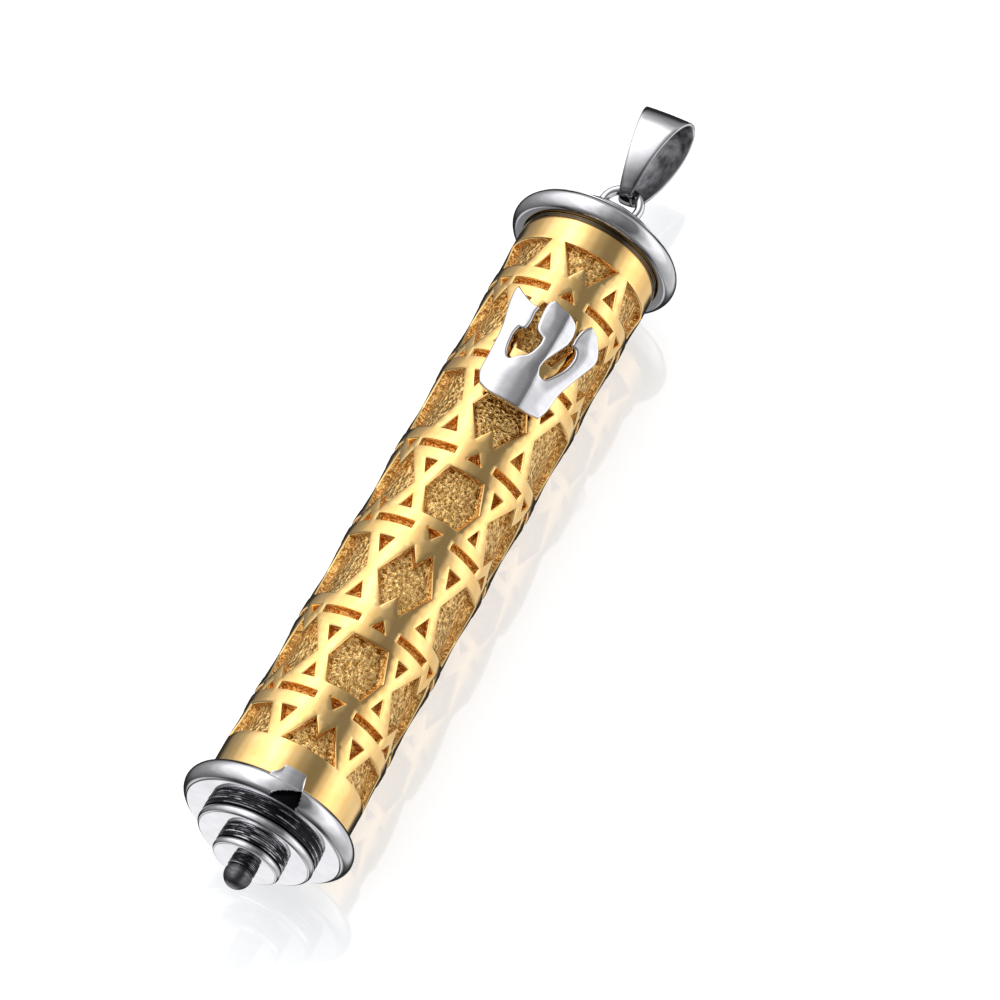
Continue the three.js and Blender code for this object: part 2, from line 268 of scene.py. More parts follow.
# Pushes each point away from the axis by an amount, and leaves its height.
def pushedOut(w, geometry, position, amount):
    flatOut = w.vector("NORMALIZE", w.vector("MULTIPLY", position, (1, 1, 0)))
    return w.shape("SetPosition", {"Geometry": geometry, "Offset": w.vector("SCALE", flatOut, amount)})


def finishGeometry(w, geometry, material):
    finished = w.shape("SetMaterial", {"Geometry": geometry, "Material": material})
    w.node("NodeGroupOutput", {"Geometry": finished})


# Shared shader effects. First the slow swell left by casting and hand polishing, as a normal.
def swellGroup():
    tree, w, given = startTree("polishSwell", "ShaderNodeTree", {"Scale": 900.0, "Height": 0.00001},
                               {"Normal": "Vector"})
    swell = w.noise(w.objectPlace(), given["Scale"], 2.0)
    w.node("NodeGroupOutput", {"Normal": w.bump(given["Height"], swell)})
    return tree


# Faint rubs and hairlines from handling, as a mask from 0 to 1.
def rubGroup():
    tree, w, given = startTree("handlingRubs", "ShaderNodeTree", {"Scale": 700.0, "Stretch": 6.0},
                               {"Mask": "Float"})
    long = w.vector("MULTIPLY", w.objectPlace(), w.xyz(X=1.0, Y=1.0, Z=given["Stretch"]))
    w.node("NodeGroupOutput", {"Mask": w.ranged(w.noise(long, given["Scale"], 6.0, 0.6), 0.35, 0.7)})
    return tree


# Grains of sand pressed in the casting: pits and crumbs at two sizes, as a height from 0 to 1.
def sandGroup():
    tree, w, given = startTree("sandGrain", "ShaderNodeTree", {"Scale": 6000.0}, {"Height": "Float"})
    place = w.objectPlace()
    cells = w.node("ShaderNodeTexVoronoi", {"Vector": place, "Scale": given["Scale"]}, feature="SMOOTH_F1")
    fine = w.noise(place, given["Scale"], 3.0)
    w.node("NodeGroupOutput", {"Height": w.math("MULTIPLY_ADD", cells.outputs["Distance"], 0.7, fine)})
    return tree


polishSwell, handlingRubs, sandGrain = swellGroup(), rubGroup(), sandGroup()


def newMaterial(name, metallic=1.0):
    material = bpy.data.materials.new(name)
    material.use_nodes = True
    material.node_tree.nodes.clear()
    w = Wiring(material.node_tree)
    shader = w.node("ShaderNodeBsdfPrincipled", {"Metallic": metallic})
    w.node("ShaderNodeOutputMaterial", {"Surface": shader.outputs[0]})
    return material, w, shader


def dress(w, shader, colour, roughness, normal):
    for socket, value in (("Base Color", colour), ("Roughness", roughness), ("Normal", normal)):
        w.feed(shader.inputs[socket], value)


def effect(w, tree, **inputs):
    return w.out("ShaderNodeGroup", inputs, node_tree=tree)


def tinted(w, mask, dark, light):
    mix = w.node("ShaderNodeMix", {"Factor": mask}, data_type="RGBA")
    for socket, colour in ((mix.inputs[6], dark), (mix.inputs[7], light)):
        w.feed(socket, colour if isinstance(colour, bpy.types.NodeSocket) else (*colour, 1))
    return mix.outputs[2]


# Wanders between two colours and two roughnesses as the rubs do, over a slow swell.
def mottled(name, look, metallic=1.0):
    material, w, shader = newMaterial(name, metallic)
    rubs = effect(w, handlingRubs, **look["rubs"])
    dress(w, shader, tinted(w, rubs, *look["colours"]), w.ranged(rubs, 0.0, 1.0, *look["roughness"]),
          effect(w, polishSwell, **look["swell"]))
    return material


# Bright silver, painted black as shade where the painted-shade attribute is high, and filed where rough is.
def silverPolish():
    look = {"clean": (0.70, 0.70, 0.725), "rubbed": (0.61, 0.61, 0.64), "paintedShade": (0.012, 0.012, 0.014),
            "filed": (0.09, 0.09, 0.1), "scraped": (0.42, 0.42, 0.44), "gloss": 0.045, "dull": 0.13,
            "rough": 0.34}
    material, w, shader = newMaterial("silverPolish")
    rubs = effect(w, handlingRubs, Scale=900, Stretch=3)
    paintedShade, rough = w.attribute("paintedShade"), w.attribute("rough")
    inside = tinted(w, effect(w, handlingRubs, Scale=2200, Stretch=0.4), look["filed"], look["scraped"])
    bare = tinted(w, rough, tinted(w, rubs, look["clean"], look["rubbed"]), inside)
    dress(w, shader, tinted(w, paintedShade, bare, look["paintedShade"]),
          w.math("MULTIPLY_ADD", rough, look["rough"], w.ranged(rubs, 0.0, 1.0, look["gloss"], look["dull"])),
          effect(w, polishSwell, Scale=500, Height=0.000012))
    return material


def goldPolish():
    return mottled("goldPolish", {
        "rubs": {"Scale": 600, "Stretch": 1.5}, "colours": ((0.95, 0.645, 0.275), (0.90, 0.56, 0.195)),
        "roughness": (0.07, 0.16), "swell": {"Scale": 420, "Height": 0.00002}})


# Sandy pocket floors. The pocket-shade attribute deepens the colour as painted shade in the little triangles
# and slots, and more lightly on the large pockets' walls.
def goldSand():
    # The colour under small is the painted shade of the pockets.
    look = {"pit": (0.36, 0.165, 0.028), "crumb": (1.0, 0.68, 0.27), "small": (0.74, 0.37, 0.095),
            "grainScale": 4700, "relief": 0.00017, "low": 0.55, "high": 1.05, "dull": 0.38, "gloss": 0.18}
    material, w, shader = newMaterial("goldSand")
    grain = effect(w, sandGrain, Scale=look["grainScale"])
    spread = w.ranged(grain, look["low"], look["high"])
    sandColour = tinted(w, spread, look["pit"], look["crumb"])
    dress(w, shader, tinted(w, w.attribute("pocketShade"), sandColour, look["small"]),
          w.ranged(spread, 0.0, 1.0, look["dull"], look["gloss"]), w.bump(look["relief"], grain))
    return material


# Blackened silver, rubbed bright where the attribute rub is high.
def oxidisedSilver():
    look = {"black": (0.032, 0.032, 0.036), "bright": (0.85, 0.85, 0.88), "dull": 0.36, "gloss": 0.16,
            "patchy": 0.65}
    material, w, shader = newMaterial("oxidisedSilver")
    patches = effect(w, handlingRubs, Scale=1400, Stretch=5)
    wearHere = w.math("MULTIPLY_ADD", patches, look["patchy"], 1 - look["patchy"])
    worn = w.math("MULTIPLY", w.attribute("rub"), wearHere)
    dress(w, shader, tinted(w, worn, look["black"], look["bright"]),
          w.ranged(patches, 0.0, 1.0, look["dull"], look["gloss"]),
          effect(w, polishSwell, Scale=2600, Height=0.00003))
    return material


def parchmentSkin():
    return mottled("parchmentSkin", {
        "rubs": {"Scale": 500, "Stretch": 0.6}, "colours": ((0.62, 0.50, 0.31), (0.83, 0.75, 0.58)),
        "roughness": (0.75, 0.92), "swell": {"Scale": 2000, "Height": 0.00002}}, 0.0)


silver, gold, sand = silverPolish(), goldPolish(), goldSand()
blackened, parchment = oxidisedSilver(), parchmentSkin()
print("materials ready")

# The lattice tube.

# Angles are degrees round from the middle of the front column; lengths are mm.
latticeSizes = {
    "columnAngle": 60,  # from a small-star column to the next large-star column
    "rows": 6,  # half periods of the pattern
    "rowHeight": 6.1,
    "repeats": 3,
    "lowerBand": 2.24,
    "neckLength": 0.45,
    "neckRadius": 4.10,
    "boreRadius": 3.70,
    "depth": 0.42,
    "swell": 0.14,  # the straps rise at every slot line and dip at the star centres
    "endWall": 0.12,
    "strapStep": 0.34,
    "floorStep": 0.115,
    "edgeStep": 0.15,
    "grainHeight": 0.11,
    "grainScale": 3600.0,
}
# The pockets: degrees round, and mm above their row's line. The first three are half outlines, and the
# other half is the same turned about.
pocketSizes = {
    "notched": [(24.5, 0), (8, 2.1), (0, 1.1), (-8, 2.1)],
    "largeHexagon": [(24.5, 0), (13, 2.15), (-13, 2.15)],
    "smallHexagon": [(24.5, 0), (15, 1.7), (-15, 1.7)],
    "slot": {"from": 17, "to": 48.5, "drop": 2.75, "half": 0.23},
    # The middle's angle, half the base's angle, and how far base and point are below the next row's line.
    "triangles": [(0, 5.5, 2.5, 3.1), (60, 5.5, 3.0, 2.4), (31, 5, 1.7, 0.82), (31, 6.3, 3.95, 5.0)],
}
crestMm = crest / mm
perDegree = crestMm * pi / 180
bandMm = latticeSizes["lowerBand"]
tubeMm = (tubeHigh.z - tubeLow.z) / mm - latticeSizes["neckLength"]
rowMm = latticeSizes["rowHeight"]
cellWide = latticeSizes["columnAngle"] * perDegree
upperBand = tubeMm - bandMm - latticeSizes["rows"] * rowMm
# How the surface falls across a pocket's edge: [mm outside the outline, height].
wallProfile = [(-0.13, -0.42), (-0.055, -0.35), (0.0, -0.09), (0.045, -0.02), (0.12, 0.0)]


def pocketOutlines():
    s, slot = pocketSizes, pocketSizes["slot"]

    def turnedAbout(cx, cy, half):
        return [(cx + x * perDegree, cy + y) for x, y in half + [(-x, -y) for x, y in half]]

    def triangle(degrees, half, baseDrop, pointDrop):
        cx, reach, base, point = degrees * perDegree, half * perDegree, rowMm - baseDrop, rowMm - pointDrop
        corners = [(cx - reach, base), (cx + reach, base), (cx, point)]
        return corners if point > base else corners[::-1]

    left, right, middle = slot["from"] * perDegree, slot["to"] * perDegree, rowMm - slot["drop"]
    low, high = middle - slot["half"], middle + slot["half"]
    large = [turnedAbout(0, 0, s["notched"]), turnedAbout(cellWide, 0, s["largeHexagon"]),
             turnedAbout(0, rowMm, s["smallHexagon"]), turnedAbout(cellWide, rowMm, s["notched"])]
    small = [triangle(*t) for t in s["triangles"]]
    small.append([(left, low), (right, low), (right, high), (left, high)])
    return [(outline, False) for outline in large] + [(outline, True) for outline in small]


def edgeNormals(points):
    out = []
    for a, b in zip(points, points[1:] + points[:1]):
        along = Vector((b[0] - a[0], b[1] - a[1])).normalized()
        out.append(Vector((along.y, -along.x)))
    return out


# The outline moved outwards by a distance, keeping its corners sharp.
def grown(points, distance):
    normals = edgeNormals(points)
    out = []
    for i, p in enumerate(points):
        n1, n2 = normals[i - 1], normals[i]
        out.append(tuple(Vector(p) + (n1 + n2) * distance / (1 + n1.dot(n2))))
    return out


# Distance outside an outline, measured square to its edges, so that grown outlines are its contours.
def outside(points, normals, x, y):
    count = len(points)
    values = [normals[i].x * (x - points[i][0]) + normals[i].y * (y - points[i][1]) for i in range(count)]
    result, used = -1e9, set()
    for i in range(count):
        n1, n2 = normals[i - 1], normals[i]
        if n1.x * n2.y - n1.y * n2.x < -1e-6:
            result = max(result, min(values[i - 1], values[i]))
            used |= {(i - 1) % count, i}
    return max([result] + [values[i] for i in range(count) if i not in used])


def stepped(points, step):
    out = []
    for a, b in zip(points, points[1:] + points[:1]):
        count = max(1, math.ceil(math.dist(a, b) / step))
        out += [(a[0] + (b[0] - a[0]) * i / count, a[1] + (b[1] - a[1]) * i / count) for i in range(count)]
    return out


# What is left of an outline on one side of a line across: above it for sign 1, below for -1.
def clipped(points, axis, limit, sign):
    out = []
    for a, b in zip(points, points[1:] + points[:1]):
        da, db = sign * (a[axis] - limit), sign * (b[axis] - limit)
        if da >= 0:
            out.append(a)
        if da * db < 0:
            t = da / (da - db)
            cross = [a[0] + (b[0] - a[0]) * t, a[1] + (b[1] - a[1]) * t]
            cross[axis] = limit
            out.append(tuple(cross))
    return out


def wallHeight(distance):
    if distance <= wallProfile[0][0]:
        return wallProfile[0][1]
    for (d0, h0), (d1, h1) in zip(wallProfile, wallProfile[1:]):
        if distance <= d1:
            return h0 + (h1 - h0) * (distance - d0) / (d1 - d0)
    return 0.0


# A quarter of the pattern's repeat, flat: one column wide and half a period tall. An end row is cut
# off by a wall at its foot and carries the plain band below it.
def patternQuarter(band):
    rnd = random.Random(7)
    low = -band
    pockets = []
    for outline, small in pocketOutlines():
        if band:
            outline = clipped(outline, 1, latticeSizes["endWall"], 1)
        if len(outline) > 2:
            pockets.append((outline, edgeNormals(outline), small))
    points, edges = [], []

    def addPoint(x, y):
        points.append((min(max(x, 0), cellWide), min(max(y, low), rowMm)))

    def addLoop(loop):
        first = len(points)
        for x, y in loop:
            addPoint(x, y)
        edges.extend((first + i, first + (i + 1) % len(loop)) for i in range(len(loop)))

    for outline, normals, small in pockets:
        for distance, height in wallProfile:
            loop = stepped(grown(outline, distance), latticeSizes["edgeStep"])
            for axis, limit, sign in ((0, 0, 1), (0, cellWide, -1), (1, low, 1), (1, rowMm, -1)):
                loop = clipped(loop, axis, limit, sign)
            if len(loop) > 2:
                addLoop(loop)

    def nearest(x, y):
        return min((outside(outline, normals, x, y), small) for outline, normals, small in pockets)

    rimReach, floorReach = wallProfile[-1][0], wallProfile[0][0]
    across = math.ceil(cellWide / latticeSizes["strapStep"])
    up = math.ceil((rowMm - low) / latticeSizes["strapStep"])
    for i in range(across + 1):
        for j in range(up + 1):
            x, y = cellWide * i / across, low + (rowMm - low) * j / up
            if nearest(x, y)[0] > rimReach + 0.12 or i in (0, across) or j in (0, up):
                addPoint(x, y)
    step = latticeSizes["floorStep"]
    for i in range(1, int(cellWide / step)):
        for j in range(0, int(rowMm / step)):
            x = cellWide * i / int(cellWide / step) + rnd.uniform(-0.3, 0.3) * step
            y = rowMm * (j + 0.5) / int(rowMm / step) + rnd.uniform(-0.3, 0.3) * step
            if nearest(x, y)[0] < floorReach - 0.05:
                addPoint(x, y)
    flat, _, faces, *_ = delaunay_2d_cdt([Vector(p) for p in points], edges, [], 0, 1e-5)
    heights, floors, pocketShades = [], [], []
    for p in flat:
        distance, small = nearest(p.x, p.y)
        depth = wallHeight(distance)
        heights.append(depth)
        loose = distance < (-0.07 if small else -0.1)
        wall = depth < -0.085
        floors.append(1.0 if loose else 0.7 if wall else 0.0)
        # Painted shade: the little pockets and the walls of the large ones are marked for a deeper colour.
        pocketShades.append(1.0 if small and wall else 0.65 if wall and not loose else 0.0)
    return [(p.x, p.y) for p in flat], heights, floors, pocketShades, [tuple(f) for f in faces]


# The flat strip of one repeat, two columns wide and as tall as the tube, built from mirrored quarters.
def patternStrip():
    middleRow, endRow = patternQuarter(0), patternQuarter(bandMm)
    points, faces, floors, pocketShades = [], [], [], []
    rows = latticeSizes["rows"]
    for row in range(rows):
        end = row in (0, rows - 1)
        # Each row brings its points, heights, floors, painted pocket shade and triangles.
        flat, heights, floor, small, tris = endRow if end else middleRow
        flipped = row % 2 == 1
        for column in (0, 1):
            base = len(points)
            for (x, y), h in zip(flat, heights):
                v = rowMm * (row + 1) - y if flipped else rowMm * row + y
                if flipped and v > rows * rowMm:
                    v = rows * rowMm + (v - rows * rowMm) * upperBand / bandMm
                u = x if column == 0 else 2 * cellWide - x
                inField = smoothstep(0, 2.2, v) * smoothstep(0, 2.2, rows * rowMm - v)
                dip = latticeSizes["swell"] * inField * (0.5 + 0.5 * cos(tau * v / rowMm))
                points.append((u * mm, v * mm, (h - dip) * mm))
            floors += floor
            pocketShades += small
            turnOver = flipped != (column == 1)
            faces += [tuple(base + i for i in (f[::-1] if turnOver else f)) for f in tris]
    mesh = bpy.data.meshes.new("patternStrip")
    mesh.from_pydata(points, [], faces)
    paint(mesh, "hollow", floors)
    paint(mesh, "pocketShade", pocketShades)
    return mesh


# Repeats the strip round the tube, wraps it, and roughens the pocket floors.
def latticeTree():
    tree, w, given = startGeometry("latticeWrap", {
        "Repeats": 3, "Strip Width": 0.01, "Crest Radius": 0.004,
        "Foot": 0.0, "Grain Height": 0.00005, "Grain Scale": 5000.0,
        "Polish": "Material", "Sand": "Material"})
    line = w.shape("MeshLine", {"Count": given["Repeats"], "Offset": w.xyz(X=given["Strip Width"])})
    copies = w.shape("InstanceOnPoints", {"Points": line, "Instance": given["Geometry"]})
    sheet = w.shape("RealizeInstances", {"Geometry": copies})
    position = w.shape("InputPosition")
    parts = w.node("ShaderNodeSeparateXYZ", {"Vector": position}).outputs
    angle = w.math("DIVIDE", parts["X"], given["Crest Radius"])
    radius = w.math("ADD", parts["Z"], given["Crest Radius"])
    wrapped = w.xyz(X=w.math("MULTIPLY", radius, w.math("SINE", angle)),
                    Y=w.math("MULTIPLY", radius, w.math("MULTIPLY", w.math("COSINE", angle), -1.0)),
                    Z=w.math("ADD", parts["Y"], given["Foot"]))
    tube = w.shape("SetPosition", {"Geometry": sheet, "Position": wrapped})
    welded = w.shape("MergeByDistance", {"Geometry": tube, "Distance": 0.000001})
    hollow = w.shape("InputNamedAttribute", {"Name": "hollow"}, data_type="FLOAT")
    grain = w.noise(position, given["Grain Scale"], 3.0)
    rise = w.math("MULTIPLY", w.math("SUBTRACT", grain, 0.5), given["Grain Height"])
    loose = w.math("GREATER_THAN", hollow, 0.85)
    sanded = pushedOut(w, welded, position, w.math("MULTIPLY", rise, loose))
    polished = w.shape("SetMaterial", {"Geometry": sanded, "Material": given["Polish"]})
    finished = w.shape("SetMaterial", {
        "Geometry": polished, "Selection": w.math("GREATER_THAN", hollow, 0.66), "Material": given["Sand"]})
    w.node("NodeGroupOutput", {"Geometry": finished})
    return tree


# Closes the tube: a shoulder, the neck, the bore and the foot, grown from the sheet's two open ends.
def closeTube(mesh):
    bm = bmesh.new()
    bm.from_mesh(mesh)
    top = tubeLow.z + tubeMm * mm

    def openEnd(height):
        edges = [e for e in bm.edges if len(e.link_faces) == 1]
        return [e for e in edges if all(abs(v.co.z - height) < 0.00002 for v in e.verts)]

    def grow(edges, radius, height):
        made = bmesh.ops.extrude_edge_only(bm, edges=edges)["geom"]
        for v in [g for g in made if isinstance(g, bmesh.types.BMVert)]:
            scale = radius * mm / math.hypot(v.co.x, v.co.y)
            v.co = Vector((v.co.x * scale, v.co.y * scale, height))
        return [g for g in made if isinstance(g, bmesh.types.BMEdge) and len(g.link_faces) == 1]

    ends = openEnd(top)
    neck, bore = latticeSizes["neckRadius"], latticeSizes["boreRadius"]
    for radius, height in ((crestMm - 0.02, top + 0.015 * mm), (neck, top + 0.02 * mm), (neck, tubeHigh.z),
                           (bore, tubeHigh.z), (bore, tubeLow.z)):
        ends = grow(ends, radius, height)
    foot = openEnd(tubeLow.z)
    bmesh.ops.bridge_loops(bm, edges=[e for e in foot if len(e.link_faces) == 1])
    weldInto(mesh, bm)


def latticeTube():
    s = latticeSizes
    mesh = runNodes("latticeTube", latticeTree(), {
        "Repeats": s["repeats"], "Strip Width": 2 * cellWide * mm, "Crest Radius": crest,
        "Foot": tubeLow.z + bandMm * mm, "Grain Height": s["grainHeight"] * mm,
        "Grain Scale": s["grainScale"], "Polish": gold, "Sand": sand,
    }, patternStrip())
    closeTube(mesh)
    piece = newPiece("latticeTube", mesh, 40)
    return place(piece, None, "case", "gold", "lattice_tube")


tubePiece = latticeTube()
print("lattice tube", len(tubePiece.data.polygons), "faces")


# The bottom cap.

bottomSizes = {
    "beadRadius": 5.30, "beadSection": 0.74, "faceRadius": 4.82, "thickness": 1.5, "notchRadius": 4.84,
    "notchLow": (-10, 0.10), "notchHigh": (7.5, 1.0), "notchSide": (8.3, 3.4), "notchFade": (-12, -5),
}


# Height of the slanting top of the notch under the catch, at an angle in degrees.
def notchTop(degrees):
    (a0, z0), (a1, z1) = bottomSizes["notchLow"], bottomSizes["notchHigh"]
    return z0 + (z1 - z0) * (degrees - a0) / (a1 - a0)


# How far the bead is cut back under the catch: eased in on its left, square on its right.
def inNotch(z, a):
    s = bottomSizes
    degrees = math.degrees(a if a < pi else a - tau)
    right = s["notchSide"][0] + s["notchSide"][1] * (1 - z)
    if z > notchTop(degrees) or degrees > right:
        return 0.0
    return smoothstep(*s["notchFade"], degrees)


def bottomFlange():
    s = bottomSizes
    centre = s["beadRadius"] - s["beadSection"]
    rim = arc(centre, s["thickness"] / 2, s["beadSection"], -64, 90, 60)
    profile = [(0, 0), (3.2, 0), (s["faceRadius"] - 0.12, 0), (s["faceRadius"] - 0.03, 0.012),
               (s["faceRadius"] - 0.005, 0.05), *rim, (3.2, s["thickness"]), (0, s["thickness"])]

    def reach(r, z, a):
        return r + (min(r, s["notchRadius"]) - r) * inNotch(z, a)

    # Painted shadow: the bead cut back under the catch is painted black, as the shadow under the tab.
    def paintedShade(r, z, a):
        return min(inNotch(z, a) * 1.6, 1.0) if z > 0.04 else 0.0

    return place(turned("bottomFlange", profile, 480, reach, paintedShade), silver, "cap", "silver", "bottom_flange")


# The catch standing on the bead: a hollow rise on its left, a level top, a slanting right side.
def catchTab():
    t = {"from": -14.0, "peak": -7.8, "corner": 6.4, "to": 9.2, "foot": 0.84, "left": 1.36, "top": 2.08,
         "end": 1.0, "outer": 5.265, "lean": 0.055, "hollow": 0.035, "wall": 0.44, "round": 0.06}
    angles = [t["from"] + (t["corner"] - t["from"]) * i / 60 for i in range(61)]
    angles += [t["corner"] + (t["to"] - t["corner"]) * i / 10 for i in range(1, 11)]
    loops = []
    for a in angles:
        k = min(max((a - t["from"]) / (t["peak"] - t["from"]), 0), 1)
        top = t["left"] + (t["top"] - t["left"]) * (0.1 * k + 0.9 * k ** 2.4)
        if a > t["corner"]:
            top = t["top"] + (t["end"] - t["top"]) * (a - t["corner"]) / (t["to"] - t["corner"])
        foot = min(max(t["foot"], notchTop(a)), top - 0.1)
        face = []
        for i in range(7):
            z = foot + (top - t["round"] - foot) * i / 6
            dish = t["hollow"] * sin(pi * i / 6)
            face.append((t["outer"] - t["lean"] * (z - t["foot"]) - dish, z))
        r1, c = face[-1][0], t["round"]
        r0 = r1 - t["wall"]
        section = [(r0, foot), *face, (r1 - 0.3 * c, top - 0.3 * c), (r1 - c, top), (r0 + c, top),
                   (r0 + 0.3 * c, top - 0.3 * c), (r0, top - c)]
        b = radians(a)
        loops.append([(r * mm * sin(b), -r * mm * cos(b), capFace + z * mm) for r, z in section])
    return place(newPiece("catchTab", skin("catchTab", loops)), silver, "cap", "silver", "catch_tab")


# Loops of points joined in order and closed at both ends.
def skin(name, loops, closed=False):
    count = len(loops[0])
    points = [p for loop in loops for p in loop]
    faces = []
    for i in range(len(loops) if closed else len(loops) - 1):
        for j in range(count):
            k, low, high = (j + 1) % count, i * count, (i + 1) % len(loops) * count
            faces.append((low + j, low + k, high + k, high + j))
    if not closed:
        faces += [tuple(range(count)), tuple(range(len(points) - count, len(points)))]
    return meshFrom(name, points, faces)


# Fine turned ribs stacked round a core; the outermost parts are rubbed.
def ribTree():
    tree, w, given = startGeometry("ribStack", {
        "Radius": 0.003, "Foot": 0.0, "Height": 0.0005, "Ribs": 4,
        "Wear": 0.5, "Seed": 0.0, "Material": "Material"})
    pitch = w.math("DIVIDE", given["Height"], given["Ribs"])
    half = w.math("MULTIPLY", pitch, 0.5)
    ringRadius = w.math("SUBTRACT", given["Radius"], half)
    ring = w.shape("CurvePrimitiveCircle", {"Resolution": 180, "Radius": ringRadius}, mode="RADIUS")
    start = w.xyz(Z=w.math("ADD", given["Foot"], half))
    line = w.shape("MeshLine", {"Count": given["Ribs"], "Start Location": start, "Offset": w.xyz(Z=pitch)})
    uneven = w.out("FunctionNodeRandomValue", {0: (0.985, 0.985, 1.0), 1: (1.0, 1.0, 1.0), "Seed": 3},
                   data_type="FLOAT_VECTOR")
    stack = w.shape("InstanceOnPoints", {
        "Points": line, "Instance": swept(w, ring, half, 10), "Scale": uneven})
    solid = onCore(w, given, stack, ringRadius, 180)
    position = w.shape("InputPosition")
    shifted = w.vector("ADD", w.vector("MULTIPLY", position, (900, 900, 5200)), given["Seed"])
    noise = w.noise(shifted, 1.0, 3.0)
    rough = pushedOut(w, solid, position, w.math("MULTIPLY", w.math("SUBTRACT", noise, 0.5), 0.00007))
    parts = w.node("ShaderNodeSeparateXYZ", {"Vector": position}).outputs
    away = w.math("SQRT", w.math("ADD", w.math("POWER", parts["X"], 2), w.math("POWER", parts["Y"], 2)))
    outward = w.ranged(away, w.math("MULTIPLY_ADD", half, -0.6, given["Radius"]), given["Radius"])
    rub = w.math("MULTIPLY", w.math("MULTIPLY", outward, w.ranged(noise, 0.47, 0.56)), given["Wear"])
    marked = w.shape("StoreNamedAttribute", {"Geometry": rough, "Name": "rub", "Value": rub},
                     data_type="FLOAT", domain="POINT")
    finishGeometry(w, marked, given["Material"])
    return tree


ribStack = ribTree()


def ribbed(name, node, ribs, wear, seed):
    low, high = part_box(node)
    mesh = runNodes(name, ribStack, {
        "Radius": high.x, "Foot": low.z, "Height": high.z - low.z, "Ribs": ribs, "Wear": wear,
        "Seed": seed, "Material": blackened,
    })
    return place(newPiece(name, mesh), None, "cap", "oxidised_silver", node)


# A thin disc with a bead for a rim and a flat lower face.
def beadStep(name, node):
    foot, head, radius = spanOf(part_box(node))
    section = (head - foot) / 2
    face = radius - section * 0.62
    rim = arc(radius - section, foot + section, section, -58, 90, 20)
    profile = [(0, foot), (face - 0.1, foot), (face - 0.025, foot + 0.01), (face, foot + 0.035), *rim,
               (0, head)]
    return place(turned(name, profile, 200), silver, "cap", "silver", node)


def finialBall():
    foot, head, radius = spanOf(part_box("finial_ball"))
    centre = foot + radius
    neck = head - centre
    top = math.degrees(math.asin(min(neck / radius, 1)))
    profile = [(0, centre - radius), *arc(0, centre, radius, -87, top, 40), (0, centre + neck)]
    piece = turned("finialBall", profile, 96)
    paint(piece.data, "rub", [0.16] * len(piece.data.vertices))
    return place(piece, blackened, "cap", "oxidised_silver", "finial_ball")


# A screw thread wound round a plug.
def threadTree():
    tree, w, given = startGeometry("threadWinding", {
        "Root Radius": 0.003, "Ridge": 0.0003, "Turns": 4.0,
        "Foot": 0.0, "Height": 0.003, "Material": "Material"})
    helix = w.shape("CurveSpiral", {
        "Resolution": 90, "Rotations": given["Turns"], "Start Radius": given["Root Radius"],
        "End Radius": given["Root Radius"],
        "Height": w.math("MULTIPLY_ADD", given["Ridge"], -2.0, given["Height"])})
    ridge = swept(w, helix, given["Ridge"], 6, True)
    lift = w.xyz(Z=w.math("ADD", given["Foot"], given["Ridge"]))
    wound = w.shape("Transform", {"Geometry": ridge, "Translation": lift})
    finishGeometry(w, onCore(w, given, wound, given["Root Radius"], 120), given["Material"])
    return tree


def threadedPlug():
    plug = {"ridge": 0.19, "turns": 4.4}
    low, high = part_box("threaded_plug")
    mesh = runNodes("threadedPlug", threadTree(), {
        "Root Radius": high.x - plug["ridge"] * mm, "Ridge": plug["ridge"] * mm, "Turns": plug["turns"],
        "Foot": low.z, "Height": high.z - low.z, "Material": silver,
    })
    return place(newPiece("threadedPlug", mesh), None, "cap", "silver", "threaded_plug")


bottomFlange()
catchTab()
ribbed("drumLarge", "drum_large", 4, 2.2, 1.0)
ribbed("drumSmall", "drum_small", 4, 2.2, 4.0)
ribbed("finialStem", "finial_stem", 4, 0.7, 9.0)
beadStep("stepLarge", "step_large")
beadStep("stepSmall", "step_small")
finialBall()
threadedPlug()
print("bottom cap ready")


# The top cap, hang ring and bail.

def topFlange():
    s = bottomSizes
    foot, head, _ = spanOf(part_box("top_flange"))
    centre = s["beadRadius"] - s["beadSection"]
    middle = head - 0.18 - s["beadSection"]
    rim = arc(centre, middle, s["beadSection"], -112, 44, 40)
    edge = rim[-1]
    ledge = [(edge[0] - inward, edge[1] + up) for inward, up in ((0.07, 0.01), (0.08, 0.1), (0.14, 0.15))]
    profile = [(0, foot), (centre - 0.32, foot), *rim, *ledge, (4.72, head - 0.2), (4.66, head - 0.19),
               (4.6, head - 0.04), (4.56, head), (0, head)]

    # Painted shade: the bottom of the flange, where it sits on the tube, is painted dark.
    def paintedShade(r, z, a):
        return 0.82 if z < foot + 0.06 else 0.0

    return place(turned("topFlange", profile, 220, None, paintedShade), silver, "case", "silver", "top_flange")


def topStep():
    foot, head, radius = spanOf(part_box("top_step"))
    rise = (head - foot) / 2
    lower = arc(radius - 0.2, foot + rise - 0.2, 0.2, -20, 90, 10)
    upper = arc(radius - 0.72, head - 0.3, 0.3, -30, 90, 12)
    profile = [(0, foot), (radius - 0.06, foot), *lower, (radius - 0.45, foot + rise), *upper, (0, head)]
    return place(turned("topStep", profile, 200), silver, "case", "silver", "top_step")


def topBoss():
    foot, head, radius = spanOf(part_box("top_boss"))
    profile = softened([(0, foot), (radius, foot), (radius - 0.03, head), (0, head)], 0.1)
    return place(turned("topBoss", profile, 120), silver, "case", "silver", "top_boss")


ringSizes = {"centreRadius": 1.13, "wireRadius": 0.29, "footRadius": 0.5, "footHeight": 0.3, "yaw": -16.6}


